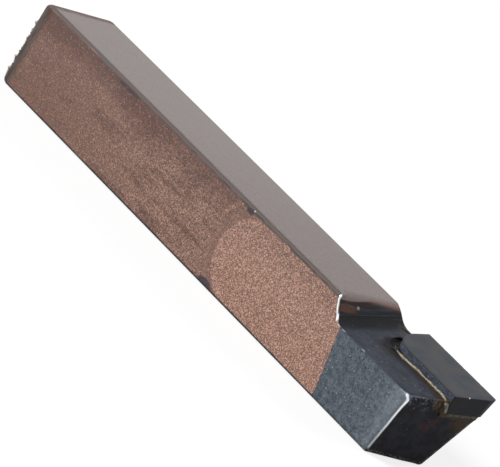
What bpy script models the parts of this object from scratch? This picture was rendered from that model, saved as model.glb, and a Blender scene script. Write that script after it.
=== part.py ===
"""Right-hand turning tool with a carbide tip brazed into a square steel shank.

Metres, +Z up. X runs along the bar from its rear end to the cutting nose, and Y runs
across it, with the carbide on the +Y side. The origin is the middle of the bar's
seating face. A heavy step lowers the head of the shank. An open pocket is milled in
the head, the tip lies in it, and one film of braze fills the seam between the two.
"""

from math import cos, pi, radians, sin, tan

import bmesh
import bpy
from mathutils import Matrix, Vector

# Bar: half an inch square, three and a half inches from the rear end to the nose
BAR_LENGTH = 0.0889
BAR_WIDTH = 0.0127
BAR_HEIGHT = 0.0127
EDGE_ROUND = 0.0006
REAR_ROUND = 0.0011

# Head: the lowered front of the bar, whose top slopes down towards the near side
HEAD_LENGTH = 0.0170
HEAD_DROP = 0.00322
HEAD_RAKE = radians(7.0)
STEP_LEAN = radians(30.0)
STEP_FILLET = 0.0015
STEP_SKEW = radians(4.0)

# Far corner of the step, ground off by hand, from its start to its end behind the nose
CORNER_START = 0.0223
CORNER_END = 0.0173
CORNER_TURN = radians(18.1)
CORNER_LEAN = radians(36.9)

# Front and side clearances ground on the steel
END_ANGLE = radians(5.7)
END_RELIEF = radians(8.0)
SIDE_RELIEF = radians(16.7)
FOOT_SETBACK = 0.00255
RELIEF_LENGTH = 0.0158
RELIEF_RUNOUT = 0.0060
NEAR_CORNER_ROUND = 0.0007
FAR_CORNER_ROUND = 0.0003

# Carbide tip
TIP_LENGTH = 0.0147
TIP_WIDTH = 0.0069
TIP_THICKNESS = 0.0028
TIP_RAKE = radians(7.9)
TIP_SIDE_RELIEF = radians(7.2)
TIP_BACK_RADIUS = 0.0042
NOSE_DROP = 0.0004
NOSE_RADIUS = 0.0004
NOSE_FLAT = 0.0012
NOSE_FLAT_FOOT = 0.0006
NOSE_FLAT_TURN = radians(10.0)
SIDE_OVERHANG = 0.0006
END_OVERHANG = 0.0003

# Pocket milled in the head, and the braze in its seam
POCKET_RAKE = radians(3.0)
POCKET_CORNER = 0.0032
SEAM_FLOOR = 0.0003
SEAM_WALL = 0.0006
SEAM_BACK = 0.0007
SEAM_CLEARANCE = 0.00005
BEAD_DROP = 0.0004
BRAZE_SETBACK = 0.0001
BRAZE_CHAMFER = 0.00015
BEAD_REACH = 0.0003
BEAD_RISE = 0.0002
BEAD_SHOULDER = 0.8
CRATER_DEPTH = 0.0012
CRATER_LENGTH = 0.0018
CRATER_WIDTH = 0.0032

# How far cutters run past the faces that they cut, and steps in a rounded corner
MARGIN = 0.0020
ARC_STEPS = 6
WIDE_ARC_STEPS = 10
ROUND_SEGMENTS = 4
SETTLING_ROUNDS = 12
SHARP_ANGLE = radians(30.0)

# Planes that several pieces share
REAR_X = -BAR_LENGTH / 2
NOSE_X = BAR_LENGTH / 2
NEAR_Y = -BAR_WIDTH / 2
FAR_Y = BAR_WIDTH / 2
NOSE_Y = FAR_Y + SIDE_OVERHANG
STEP_X = NOSE_X - HEAD_LENGTH
TIP_BACK_X = NOSE_X - TIP_LENGTH
TIP_NEAR_Y = NOSE_Y - TIP_WIDTH

# Heights above the seating face, and the width left at the foot of the relieved side
HEAD_HEIGHT = BAR_HEIGHT - HEAD_DROP
NOSE_HEIGHT = BAR_HEIGHT - NOSE_DROP
FOOT_WIDTH = BAR_WIDTH - FOOT_SETBACK


def head_top(y):
    """Height of the sloping top of the head at a place across the bar."""
    return HEAD_HEIGHT + tan(HEAD_RAKE) * (y - NEAR_Y)


def tip_top(y):
    """Height of the ground top of the tip at a place across the bar."""
    return NOSE_HEIGHT + tan(TIP_RAKE) * (y - NOSE_Y)


def tip_floor(y):
    """Height of the underside of the tip, square to its near wall."""
    return tip_top(y) - TIP_THICKNESS / cos(TIP_RAKE)


def tip_near_wall(z):
    """Place across the bar of the tip's near wall, which stands square to its top."""
    return TIP_NEAR_Y + tan(TIP_RAKE) * (tip_top(TIP_NEAR_Y) - z)


def tip_far_wall(z):
    """Place across the bar of the ground side of the tip."""
    return NOSE_Y - tan(TIP_SIDE_RELIEF) * (NOSE_HEIGHT - z)


def pocket_wall(z):
    """Place across the bar of the pocket's near wall, one seam away from the tip."""
    return tip_near_wall(z) - SEAM_WALL


def pocket_floor(y):
    """Height of the milled floor, which leaves a seam that widens to the far side."""
    return tip_floor(TIP_NEAR_Y) - SEAM_FLOOR + tan(POCKET_RAKE) * (y - TIP_NEAR_Y)


def meeting_place(wall, height_of):
    """Place across the bar where a leaning wall meets a sloping plane."""
    y = TIP_NEAR_Y
    for _ in range(SETTLING_ROUNDS):
        y = wall(height_of(y))
    return y


def end_face(y, z, behind=0.0):
    """Place along the bar of the ground end face, or of a face that lies behind it."""
    lean = tan(END_RELIEF) * (z - NOSE_HEIGHT)
    return NOSE_X + tan(END_ANGLE) * (y - NOSE_Y) + lean - behind


def relief_side(z):
    """Place across the bar of the plane that cuts back the steel's far side."""
    return NEAR_Y + FOOT_WIDTH + tan(SIDE_RELIEF) * z


def rounded(corner, before, after, radius, steps):
    """Points of the arc that rounds a plan corner between its two neighbours."""
    corner = Vector(corner)
    back = (Vector(before) - corner).normalized()
    ahead = (Vector(after) - corner).normalized()
    half = back.angle(ahead) / 2
    centre = corner + (back + ahead).normalized() * (radius / sin(half))
    start = corner + back * (radius / tan(half)) - centre
    turn = start.angle_signed(corner + ahead * (radius / tan(half)) - centre)
    points = []
    for step in range(steps + 1):
        angle = -turn * step / steps
        x = start.x * cos(angle) - start.y * sin(angle)
        y = start.x * sin(angle) + start.y * cos(angle)
        points.append((centre.x + x, centre.y + y))
    return points


def add_collection(name, hidden=False):
    collection = bpy.data.collections.new(name)
    collection.hide_render = hidden
    bpy.context.scene.collection.children.link(collection)
    return collection


def add_material(name, colour, roughness, metallic):
    material = bpy.data.materials.new(name)
    material.use_nodes = True
    shader = material.node_tree.nodes["Principled BSDF"]
    shader.inputs["Base Color"].default_value = (*colour, 1.0)
    shader.inputs["Roughness"].default_value = roughness
    shader.inputs["Metallic"].default_value = metallic
    material.diffuse_color = (*colour, 1.0)
    return material


def add_body(name, collection, bm):
    """Makes an object of a finished bmesh, with its faces turned outwards."""
    bmesh.ops.recalc_face_normals(bm, faces=bm.faces)
    mesh = bpy.data.meshes.new(name)
    bm.to_mesh(mesh)
    bm.free()
    mesh.shade_smooth()
    mesh.set_sharp_from_angle(angle=SHARP_ANGLE)
    body = bpy.data.objects.new(name, mesh)
    collection.objects.link(body)
    return body


def add_loft(name, collection, rings):
    """Makes a closed solid from plan outlines of equal count, one above the other."""
    bm = bmesh.new()
    loops = [[bm.verts.new(point) for point in ring] for ring in rings]
    for lower, upper in zip(loops, loops[1:]):
        for i in range(len(lower)):
            j = (i + 1) % len(lower)
            bm.faces.new((lower[i], lower[j], upper[j], upper[i]))
    bm.faces.new(loops[0])
    bm.faces.new(loops[-1])
    return add_body(name, collection, bm)


def add_plate(name, collection, outline, low_y, high_y, slope, skew):
    """Makes a solid from an outline in X and Z, carried across the bar up a slope and askew."""
    rings = []
    for y in (low_y, high_y):
        rings.append([(x - skew * (y - NEAR_Y), y, z + slope * y) for x, z in outline])
    return add_loft(name, collection, rings)


def add_boolean(body, other, operation):
    modifier = body.modifiers.new(other.name, "BOOLEAN")
    modifier.operation = operation
    modifier.solver = "EXACT"
    modifier.object = other


def hide_cutter(cutter):
    cutter.hide_render = True
    cutter.display_type = "WIRE"


def add_bar(parts):
    """Length of square bar stock with rounded edges, longer than the finished tool.

    The edges of the rear end are filed rounder than the long edges.
    """
    length = BAR_LENGTH + MARGIN
    middle = Matrix.Translation((REAR_X + length / 2, 0.0, BAR_HEIGHT / 2))
    size = Matrix.Diagonal((length, BAR_WIDTH, BAR_HEIGHT, 1.0))
    bm = bmesh.new()
    bmesh.ops.create_cube(bm, size=1.0, matrix=middle @ size)
    widest = max(EDGE_ROUND, REAR_ROUND)
    weights = bm.edges.layers.float.new("bevel_weight_edge")
    for edge in bm.edges:
        is_rear = all(vertex.co.x < 0.0 for vertex in edge.verts)
        edge[weights] = (REAR_ROUND if is_rear else EDGE_ROUND) / widest
    bar = add_body("shank", parts, bm)
    bevel = bar.modifiers.new("rounded edges", "BEVEL")
    bevel.limit_method = "WEIGHT"
    bevel.width = widest
    bevel.segments = ROUND_SEGMENTS
    return bar


def add_shank(parts, cutters):
    shank = add_bar(parts)
    head_cutters = (add_front_cutter, add_toe_cutter, add_step_cutter, add_corner_cutter)
    for add_cutter in head_cutters + (add_pocket_cutter,):
        add_boolean(shank, add_cutter(cutters), "DIFFERENCE")
    return shank


def front_outline(z):
    """Outline of the space that the grinding wheels clear at the front, at one height.

    It runs from the near side round the front face, back along the relieved far side
    and out of it on the wheel's own arc.
    """
    side_y = relief_side(z)
    runout_x = NOSE_X - RELIEF_LENGTH
    clear_x = NOSE_X + 2 * MARGIN
    near_y = NEAR_Y - MARGIN
    front_near = (end_face(NEAR_Y, z, END_OVERHANG), NEAR_Y)
    front_far = (end_face(side_y, z, END_OVERHANG), side_y)
    near_round = rounded(front_near, (REAR_X, NEAR_Y), front_far, NEAR_CORNER_ROUND, ARC_STEPS)
    outline = [(near_round[0][0], near_y)] + near_round
    outline += rounded(front_far, front_near, (runout_x, side_y), FAR_CORNER_ROUND, ARC_STEPS)
    for step in range(WIDE_ARC_STEPS + 1):
        angle = pi / 2 * step / WIDE_ARC_STEPS
        out_y = side_y + RELIEF_RUNOUT * (1 - cos(angle))
        outline.append((runout_x - RELIEF_RUNOUT * sin(angle), out_y))
    outline += [(clear_x, outline[-1][1]), (clear_x, near_y)]
    return outline


def add_front_cutter(cutters):
    rings = []
    for z in (-MARGIN, BAR_HEIGHT + MARGIN):
        rings.append([(x, y, z) for x, y in front_outline(z)])
    cutter = add_loft("front_cutter", cutters, rings)
    hide_cutter(cutter)
    return cutter


def add_toe_cutter(cutters):
    """Strip that rounds the lower edge of the front face."""
    rings = []
    for y in (NEAR_Y - MARGIN, FAR_Y + MARGIN):
        corner = (end_face(y, 0.0, END_OVERHANG), 0.0)
        above = (end_face(y, HEAD_HEIGHT, END_OVERHANG), HEAD_HEIGHT)
        toe = rounded(corner, (REAR_X, 0.0), above, EDGE_ROUND, ARC_STEPS)
        clear_x = corner[0] + 2 * MARGIN
        outline = [(toe[0][0], -MARGIN)] + toe + [(clear_x, toe[-1][1]), (clear_x, -MARGIN)]
        rings.append([(x, y, z) for x, z in outline])
    cutter = add_loft("toe_cutter", cutters, rings)
    hide_cutter(cutter)
    return cutter


def add_step_cutter(cutters):
    """Prism above the head: its underside, the fillet and the leaning wall of the step."""
    slope = tan(HEAD_RAKE)
    foot_z = head_top(0.0)
    top_z = BAR_HEIGHT + MARGIN + slope * BAR_WIDTH
    turn = pi / 2 - STEP_LEAN
    fillet = []
    for step in range(ARC_STEPS + 1):
        angle = turn * step / ARC_STEPS
        fillet.append((STEP_X - STEP_FILLET * sin(angle), foot_z + STEP_FILLET * (1 - cos(angle))))
    wall_x, wall_z = fillet[-1]
    outline = fillet + [(wall_x - (top_z - wall_z) * tan(STEP_LEAN), top_z)]
    outline += [(NOSE_X + MARGIN, top_z), (NOSE_X + MARGIN, foot_z)]
    sides = (NEAR_Y - MARGIN, FAR_Y + MARGIN)
    cutter = add_plate("step_cutter", cutters, outline, *sides, slope, tan(STEP_SKEW))
    hide_cutter(cutter)
    return cutter


def add_corner_cutter(cutters):
    """Wedge that grinds off the far corner of the step and the edge of the head after it."""
    turn = tan(CORNER_TURN)
    start_x = NOSE_X - CORNER_START
    end_x = NOSE_X - CORNER_END
    outer_y = FAR_Y + tan(CORNER_LEAN) * BAR_HEIGHT
    rings = []
    for z in (HEAD_HEIGHT, BAR_HEIGHT + MARGIN):
        face_y = FAR_Y + tan(CORNER_LEAN) * (BAR_HEIGHT - z)
        end_y = face_y - turn * (end_x - start_x)
        outer_x = start_x - (outer_y - face_y) / turn
        front_x = NOSE_X + MARGIN
        rings.append([(outer_x, outer_y, z), (end_x, end_y, z), (front_x, end_y, z), (front_x, outer_y, z)])
    cutter = add_loft("corner_cutter", cutters, rings)
    hide_cutter(cutter)
    return cutter


def pocket_outline(wall_y, inset=0.0):
    """Plan outline of the pocket, open at the end and on the far side."""
    back_x = TIP_BACK_X - SEAM_BACK + inset
    near_y = wall_y + inset
    corner = (back_x, near_y)
    front = (NOSE_X + MARGIN, near_y)
    far_back = (back_x, NOSE_Y + MARGIN)
    outline = [front]
    outline += rounded(corner, front, far_back, POCKET_CORNER - inset, ARC_STEPS)
    outline += [far_back, (NOSE_X + MARGIN, NOSE_Y + MARGIN)]
    return outline


def pocket_rings(inset, top_of):
    """Rings of the pocket's space from its floor up to a given top, less an inset."""
    rings = []
    for height_of in (lambda y: pocket_floor(y) + inset, top_of):
        wall_y = meeting_place(pocket_wall, height_of)
        rings.append([(x, y, height_of(y)) for x, y in pocket_outline(wall_y, inset)])
    return rings


def add_pocket_cutter(cutters):
    rings = pocket_rings(0.0, lambda y: tip_top(y) + MARGIN)
    cutter = add_loft("pocket_cutter", cutters, rings)
    hide_cutter(cutter)
    return cutter


def tip_ring(height_of, grow=0.0):
    """Plan outline of the tip on a sloping plane, each wall moved out by grow.

    The flat behind the nose is narrow at the underside and widens to the top.
    """
    near_y = meeting_place(tip_near_wall, height_of) - grow
    far_y = meeting_place(tip_far_wall, height_of) + grow
    back_x = TIP_BACK_X - grow
    share = (height_of(far_y) - tip_floor(far_y)) / (tip_top(far_y) - tip_floor(far_y))
    flat_width = NOSE_FLAT_FOOT + (NOSE_FLAT - NOSE_FLAT_FOOT) * share
    flat_y = far_y - flat_width
    front_near = (end_face(near_y, height_of(near_y), -grow), near_y)
    flat_start = (end_face(flat_y, height_of(flat_y), -grow), flat_y)
    nose = (flat_start[0] - tan(NOSE_FLAT_TURN - END_ANGLE) * flat_width, far_y)
    back_far = (back_x, far_y)
    back_near = (back_x, near_y)
    ring = [front_near, flat_start]
    ring += rounded(nose, flat_start, back_far, NOSE_RADIUS + grow, ARC_STEPS)
    ring.append(back_far)
    ring += rounded(back_near, back_far, front_near, TIP_BACK_RADIUS + grow, WIDE_ARC_STEPS)
    return [(x, y, height_of(y)) for x, y in ring]


def add_tip(parts):
    return add_loft("carbide_tip", parts, [tip_ring(tip_floor), tip_ring(tip_top)])


def add_tip_cutter(cutters):
    """The tip with the seam clearance all round, and cut on upwards past its top."""
    rings = [
        tip_ring(lambda y: tip_floor(y) - SEAM_CLEARANCE, SEAM_CLEARANCE),
        tip_ring(lambda y: tip_top(y) + MARGIN, SEAM_CLEARANCE),
    ]
    cutter = add_loft("tip_cutter", cutters, rings)
    hide_cutter(cutter)
    return cutter


def add_bead(cutters):
    """Run of braze along the seam, standing a little above the steel."""
    foot_y = meeting_place(pocket_wall, head_top)
    low_z = (pocket_floor(TIP_NEAR_Y) + head_top(foot_y)) / 2
    inner_y = foot_y + 2 * SEAM_WALL
    ledge_y = foot_y - BEAD_REACH
    crest_z = head_top(foot_y) + BEAD_RISE
    section = [
        (pocket_wall(low_z) + 2 * SEAM_CLEARANCE, low_z),
        (foot_y + SEAM_CLEARANCE, head_top(foot_y) + SEAM_CLEARANCE),
        (ledge_y, head_top(ledge_y) + SEAM_CLEARANCE),
        (ledge_y, head_top(ledge_y) + 2 * SEAM_CLEARANCE),
        (foot_y, head_top(foot_y) + BEAD_RISE * BEAD_SHOULDER),
        (foot_y + SEAM_WALL / 2, crest_z),
        (inner_y, crest_z),
        (inner_y, low_z),
    ]
    rings = [
        [(TIP_BACK_X, y, z) for y, z in section],
        [(end_face(y, z, SEAM_CLEARANCE), y, z) for y, z in section],
    ]
    bead = add_loft("bead", cutters, rings)
    hide_cutter(bead)
    return bead


def add_end_bead(cutters):
    """Run of braze down the seam's open end, standing a little ahead of the steel."""
    rings = []
    for z in (tip_floor(TIP_NEAR_Y), head_top(TIP_NEAR_Y)):
        wall_y = pocket_wall(z)
        ledge_y = wall_y - BEAD_REACH
        section = [
            (END_OVERHANG + SEAM_WALL, wall_y + 2 * SEAM_CLEARANCE),
            (END_OVERHANG + SEAM_WALL, wall_y + 2 * SEAM_WALL),
            (0.0, wall_y + 2 * SEAM_WALL),
            (0.0, wall_y),
            (END_OVERHANG - 2 * SEAM_CLEARANCE, ledge_y),
            (END_OVERHANG - SEAM_CLEARANCE, ledge_y),
            (END_OVERHANG - SEAM_CLEARANCE, wall_y + 2 * SEAM_CLEARANCE),
        ]
        rings.append([(end_face(y, z, behind), y, z) for behind, y in section])
    end_bead = add_loft("end_bead", cutters, rings)
    hide_cutter(end_bead)
    return end_bead


def add_floor_bead(cutters):
    """Run of braze along the floor's open end, wetted a little way down the steel."""
    ahead = END_OVERHANG - SEAM_CLEARANCE
    rings = []
    for bead_y in (TIP_NEAR_Y + SEAM_CLEARANCE, FAR_Y - SEAM_WALL):
        floor_z = pocket_floor(bead_y)
        section = [
            (ahead, floor_z - BEAD_DROP),
            (ahead - SEAM_CLEARANCE, floor_z - BEAD_DROP),
            (BRAZE_SETBACK, floor_z),
            (BRAZE_SETBACK, floor_z + SEAM_FLOOR / 2),
            (END_OVERHANG + SEAM_WALL, floor_z + SEAM_FLOOR / 2),
            (END_OVERHANG + SEAM_WALL, floor_z + 2 * SEAM_CLEARANCE),
            (ahead, floor_z + 2 * SEAM_CLEARANCE),
        ]
        rings.append([(end_face(bead_y, z, behind), bead_y, z) for behind, z in section])
    floor_bead = add_loft("floor_bead", cutters, rings)
    hide_cutter(floor_bead)
    return floor_bead


def add_crater(cutters):
    """Hollow at the pocket's inner corner, where the braze didn't rise."""
    x0 = TIP_BACK_X - SEAM_BACK - MARGIN
    y0 = TIP_NEAR_Y - SEAM_WALL - MARGIN
    x1 = TIP_BACK_X + CRATER_LENGTH
    y1 = TIP_NEAR_Y + CRATER_WIDTH
    plan = [(x0, y0), (x1, y0), (x1, y1), (x0, y1)]
    rings = [
        [(x, y, head_top(y) - CRATER_DEPTH) for x, y in plan],
        [(x, y, head_top(y) + MARGIN) for x, y in plan],
    ]
    crater = add_loft("crater_cutter", cutters, rings)
    hide_cutter(crater)
    return crater


def add_end_trim(cutters):
    """Block ahead of the tip's end face and outside its far side, ground with the tip.

    It follows the nose flat at its full width, so the braze never stands out past it.
    """
    back_x = REAR_X
    turn = tan(NOSE_FLAT_TURN - END_ANGLE)
    front_x = NOSE_X + 2 * MARGIN
    near_y = NEAR_Y - MARGIN
    outer_y = NOSE_Y + 2 * MARGIN
    rings = []
    for z in (HEAD_HEIGHT - BAR_HEIGHT / 2, BAR_HEIGHT + MARGIN):
        far_y = tip_far_wall(z) - BRAZE_SETBACK
        flat_y = far_y - NOSE_FLAT
        flat_x = end_face(flat_y, z, BRAZE_SETBACK)
        nose_x = flat_x - turn * NOSE_FLAT
        plan = [
            (end_face(near_y, z, BRAZE_SETBACK), near_y),
            (flat_x, flat_y),
            (nose_x + turn * BRAZE_CHAMFER, far_y - BRAZE_CHAMFER),
            (nose_x - BRAZE_CHAMFER, far_y),
            (back_x, far_y),
            (back_x, outer_y),
            (front_x, outer_y),
            (front_x, near_y),
        ]
        rings.append([(x, y, z) for x, y in plan])
    trim = add_loft("end_trim", cutters, rings)
    hide_cutter(trim)
    return trim


def add_braze(parts, cutters):
    """Braze in the seam: floor film, near wall, back wall and the beads along it."""
    rings = pocket_rings(SEAM_CLEARANCE, head_top)
    braze = add_loft("braze", parts, rings)
    add_boolean(braze, add_end_trim(cutters), "DIFFERENCE")
    add_boolean(braze, add_bead(cutters), "UNION")
    add_boolean(braze, add_end_bead(cutters), "UNION")
    add_boolean(braze, add_floor_bead(cutters), "UNION")
    add_boolean(braze, add_tip_cutter(cutters), "DIFFERENCE")
    add_boolean(braze, add_crater(cutters), "DIFFERENCE")
    return braze


def main():
    for leftover in list(bpy.data.objects):
        bpy.data.objects.remove(leftover)
    parts = add_collection("carbide_tipped_tool_bit")
    cutters = add_collection("cutters", hidden=True)
    painted_steel = add_material("painted steel", (0.20, 0.12, 0.09), 0.45, 0.6)
    carbide = add_material("carbide", (0.08, 0.09, 0.11), 0.4, 0.7)
    silver_braze = add_material("silver braze", (0.52, 0.46, 0.33), 0.35, 0.9)
    add_shank(parts, cutters).data.materials.append(painted_steel)
    add_tip(parts).data.materials.append(carbide)
    add_braze(parts, cutters).data.materials.append(silver_braze)


main()
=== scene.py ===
"""Looks of a carbide-tipped turning tool: paint, blackened steel, carbide and braze.

Metres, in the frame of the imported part: X runs to the cutting nose, the carbide is on
the +Y side, and the bar lies on the floor at Z = 0. Shapes and finishes are worked out in
millimetres.
"""

import math

import bmesh
import bpy
import numpy as np
from mathutils import Matrix, Vector


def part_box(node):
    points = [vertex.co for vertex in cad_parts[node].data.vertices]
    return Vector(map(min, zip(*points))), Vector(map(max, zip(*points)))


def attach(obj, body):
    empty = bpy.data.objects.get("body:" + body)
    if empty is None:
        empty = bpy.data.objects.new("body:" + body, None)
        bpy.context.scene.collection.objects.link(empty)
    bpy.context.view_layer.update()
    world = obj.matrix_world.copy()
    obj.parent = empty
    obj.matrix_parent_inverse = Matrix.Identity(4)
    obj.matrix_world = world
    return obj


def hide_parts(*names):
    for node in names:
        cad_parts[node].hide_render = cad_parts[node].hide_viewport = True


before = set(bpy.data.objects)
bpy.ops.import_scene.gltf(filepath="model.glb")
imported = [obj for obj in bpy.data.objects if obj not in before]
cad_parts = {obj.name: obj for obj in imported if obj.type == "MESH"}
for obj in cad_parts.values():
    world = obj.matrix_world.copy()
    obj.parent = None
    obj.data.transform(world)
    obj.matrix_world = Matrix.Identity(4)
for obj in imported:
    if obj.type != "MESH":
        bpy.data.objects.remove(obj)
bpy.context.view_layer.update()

MM = 0.001

# Points closer than these are one point, in metres: when merged, and along a cut
MERGE_DISTANCE = 1e-6
CUT_DISTANCE = 2e-7

# Planes of the bar, in millimetres, from the frame
bar_low, bar_high = (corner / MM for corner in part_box("shank"))
REAR_X = bar_low.x
NEAR_Y = bar_low.y
FAR_Y = bar_high.y
TOP_Z = bar_high.z

# Head of the shank, in millimetres and slopes: its sloping top, and the leaning wall of
# the step
HEAD_NEAR_Z = 9.48
HEAD_SLOPE = math.tan(math.radians(7.0))
STEP_LEAN = math.tan(math.radians(30.0))
STEP_SKEW = math.tan(math.radians(4.0))

# Angles past which an edge shades sharp, and under which two faces are merged into one
SHARP_ANGLE = math.radians(35.0)
FLAT_ANGLE = math.radians(0.5)

# Eased edges of the head, in millimetres: how round each one is, and the cuts beside it
CUT_EDGE = 0.1
STEP_EDGE = 0.3
TOP_EDGE = 0.4
FAR_EDGE = 2.3
FRONT_EDGE = 0.8
CORNER_EDGE = 1.0
FOOT_EDGE = 0.35
FAR_FOOT_EDGE = 0.8
FRONT_CORNER = 0.7
FAR_CORNER = 0.3
FRONT_CORNER_PLACE = (42.3, -6.15)
FRONT_CORNER_REACH = 3.5
STEP_CUTS = (0.04, 0.1, 0.18, 0.28, 0.4, 0.6, 0.85, 1.15, 1.5)
HEAD_CUTS = (0.03, 0.08, 0.15, 0.25, 0.37, 0.5, 0.65, 0.82, 1.0, 1.2)
CROSS_CUTS = (37.0, 38.0, 38.8, 39.5, 40.1, 40.6, 41.1, 41.5)

# Limits of each easing, in millimetres: along the bar, across it and up. The step's and
# the head's limits along the bar count from the wall, and the step's lowest point counts
# from the near edge of the head's top.
EASED_FROM = 21.0
STEP_LOWEST = 0.9
STEP_FOREMOST = 1.0
HEAD_REARMOST = 1.6
HEAD_FARTHEST = -0.3
FOOT_REARMOST = 36.0
FOOT_HIGHEST = 3.0

# Tip, in millimetres: its rake, the grid of its surface, how far its edges are broken, and
# chips as x, y, width and depth
TIP_RAKE = math.radians(7.9)
TIP_SLOPE = math.tan(TIP_RAKE)
TIP_NOSE_Z = 12.3
TIP_COLUMNS = 720
FACE_ROWS = 8
ARC_ROWS = 5
EDGE_BREAK = 0.05
EDGE_WEAR = 0.02
EDGE_WAVES = (19, 47, 83)
TIP_CHIPS = (
    (39.4, -0.1, 0.35, 0.12),
    (36.2, -0.1, 0.25, 0.09),
    (43.9, 2.3, 0.25, 0.08),
    (33.2, 6.9, 0.25, 0.06),
    (37.2, 6.9, 0.3, 0.07),
    (41.0, 6.9, 0.2, 0.05),
)

# Bead of braze, in millimetres: knots of its middle line, from the back of the seam, and
# how it swells, each wave with its height, its rate and its lag
BEAD_LINE = (
    (30.8, 0.85, 10.24),
    (31.6, 0.2, 10.25),
    (32.5, -0.36, 10.28),
    (34.05, -0.52, 10.30),
    (35.6, -0.34, 10.30),
    (36.8, -0.2, 10.32),
    (38.2, -0.28, 10.30),
    (39.5, -0.2, 10.31),
    (40.9, -0.24, 10.30),
    (42.1, -0.26, 10.30),
    (42.95, -0.5, 10.28),
    (43.28, -0.38, 9.98),
    (43.33, -0.05, 9.5),
    (43.28, 0.22, 9.05),
    (43.24, 0.42, 8.62),
)
BEAD_RADIUS = 0.22
BEAD_SWELLS = ((0.16, 23, 1), (0.12, 41, 0), (0.06, 97, 0))
BEAD_UPWARD = (0.35, 0.45, 0.82)
BEAD_START = 0.22
BEAD_END = 0.02
BEAD_ROWS = 260
BEAD_COLUMNS = 20

# Burr of the rear edge, in millimetres: its line, its core, and its jags as waves
BURR_LINE = ((-44.17, -6.03, 1.0), (-44.17, -6.03, 9.8))
BURR_CORE = 0.05
BURR_SIZE = 0.3
BURR_JAGS = ((0.22, 61, 0), (0.18, 113, 1), (0.16, 211, 0))
BURR_SHIFT = 0.06
BURR_END = 0.03
BURR_ROWS = 420
BURR_COLUMNS = 8

# Hollow behind the bead, in millimetres and degrees: the round corners of the pocket and
# of the tip, and the part of the turn between them that it fills
POCKET_CENTRE = (32.25, 2.8)
POCKET_ROUND = 3.2
TIP_CENTRE = (33.95, 4.3)
TIP_ROUND = 4.2
HOLLOW_TURNS = (181.0, 262.0)
HOLLOW_DEPTH = 0.35
HOLLOW_DROP = 0.03
HOLLOW_END = 0.15
HOLLOW_ROWS = 60
HOLLOW_COLUMNS = 36

# Drops that set on the step, in millimetres: middle, size, and the way up from the face
PAINT_DROP = ((25.42, -2.7, 11.45), (0.32, 0.3, 0.2), (0.87, 0.0, 0.5))
BRAZE_SPILL = ((27.5, 5.45, 10.94), (0.8, 0.4, 0.1), (0.0, -0.12, 1.0))
DROP_COLUMNS = 28
DROP_ROWS = 9

# Head and front of the steel, in millimetres: where their planes pass, and their slopes
FRONT_X = 44.15
FRONT_Y = 6.95
FRONT_Z = 12.3
END_SLOPE = math.tan(math.radians(5.7))
FRONT_SLOPE = math.tan(math.radians(8.0))
FOOT_Y = 3.8
SIDE_SLOPE = math.tan(math.radians(16.7))
WALL_X = 26.15
WALL_Z = 11.01

# Paint, in millimetres: its masked edge, the round end of the second coat, and the bare
# edges along the bar
MASK_X = 29.67
MASK_LEAN = 0.222
PANEL_X = 9.6
PANEL_Z = 6.3
PANEL_RADIUS = 6.2
REAR_BAND = 1.9
FOOT_BAND = 0.35

# Marks on the paint, in millimetres: the place and the size of each
BLUE_TINT = ((-31.5, -5.3, TOP_Z), (3.2, 0.7, 0.8))
REAR_FLAW = ((-38.6, -4.9, TOP_Z), (1.0, 0.25, 0.6))
FAR_FLAW = ((-34.2, 2.9, TOP_Z), (0.5, 0.3, 0.6))
UPPER_GAP = ((5.3, NEAR_Y, 12.0), (0.8, 1.0, 0.45))
LOWER_GAP = ((4.9, NEAR_Y, 0.5), (1.8, 1.0, 0.65))
REAR_GAP = ((-23.4, NEAR_Y, 12.1), (2.2, 1.0, 0.3))
GAP_GLINT = ((5.8, NEAR_Y, 12.35), (0.13, 0.4, 0.1))
NEAR_DRIP = ((25.6, -4.9, 11.2), (1.6, 2.3, 0.5))
FAR_DRIP = ((24.0, 4.2, 12.3), (1.2, 2.4, 0.28))

# Marks on the head and on the tip, in millimetres: the place and the size of each
HOLLOW_SOOT_AND_SHADE = ((30.6, 0.7, 10.3), (1.5, 1.5, 0.8))
BEAD_SOOT_AND_SHADE = ((32.4, -0.9, 10.1), (2.0, 0.9, 0.8))
SOOT_HAZE = ((32.2, -1.5, 10.1), (2.6, 1.2, 0.8))
SPILL_STAIN = ((27.4, 5.5, 11.0), (1.5, 0.9, 0.8))
FRONT_RUST = ((42.96, -1.1, 9.6), (1.5, 1.1, 1.1))
LOW_RED = ((42.5, -0.6, 5.7), (1.5, 0.9, 0.6))
HIGH_RED = ((42.7, 0.2, 6.6), (1.5, 0.9, 0.6))
TIP_GLINT = ((43.93, 2.37, 11.66), (0.2, 0.13, 0.13))

# Colours as a screen shows them, from 0 to 255. A pair is the two ends of a range.
OLD_COAT = ((81, 54, 42), (193, 149, 130))
OLD_COAT_SHADED = ((48, 24, 15), (126, 78, 61))
EDGE_COAT = ((52, 26, 19), (118, 72, 60))
RIM_COAT = ((98, 68, 56), (155, 117, 101))
NEW_COAT = ((97, 69, 56), (222, 170, 148))
# Light specks painted in as the glints of the paint's flake
FLAKE_GLINT = (225, 196, 182)
TOP_COAT = ((80, 64, 59), (61, 40, 34))
TOP_GRAIN = (150, 128, 120)
TOP_BLUED = (72, 76, 86)
TOP_FAR_EDGE = (40, 34, 33)
TOP_FLAW = (50, 42, 42)
BAND_SIDE = ((104, 80, 71), (104, 89, 84))
BAND_CREST = (95, 87, 85)
BAND_SIDE_LINE = (62, 57, 58)
BAND_TOP_LINE = (74, 70, 71)
BARE_FOOT = (50, 50, 52)
SAWN_END = ((68, 60, 57), (92, 84, 81))
BARE_GAP = (64, 64, 70)
# Painted glint by a gap in the paint
GAP_GLINT_COLOUR = (190, 195, 195)
ROLLED_PAINT = (116, 93, 86)
LIP_PAINT_SHEEN = (140, 126, 122)
WORN_HIGHLIGHT = (232, 235, 240)
RIDGE_HIGHLIGHT = (150, 160, 170)
BLACKENED = ((64, 71, 80), (100, 108, 116))
PIT = (48, 54, 62)
SPARK = (150, 156, 162)
RUBBED = (150, 158, 166)
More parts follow.
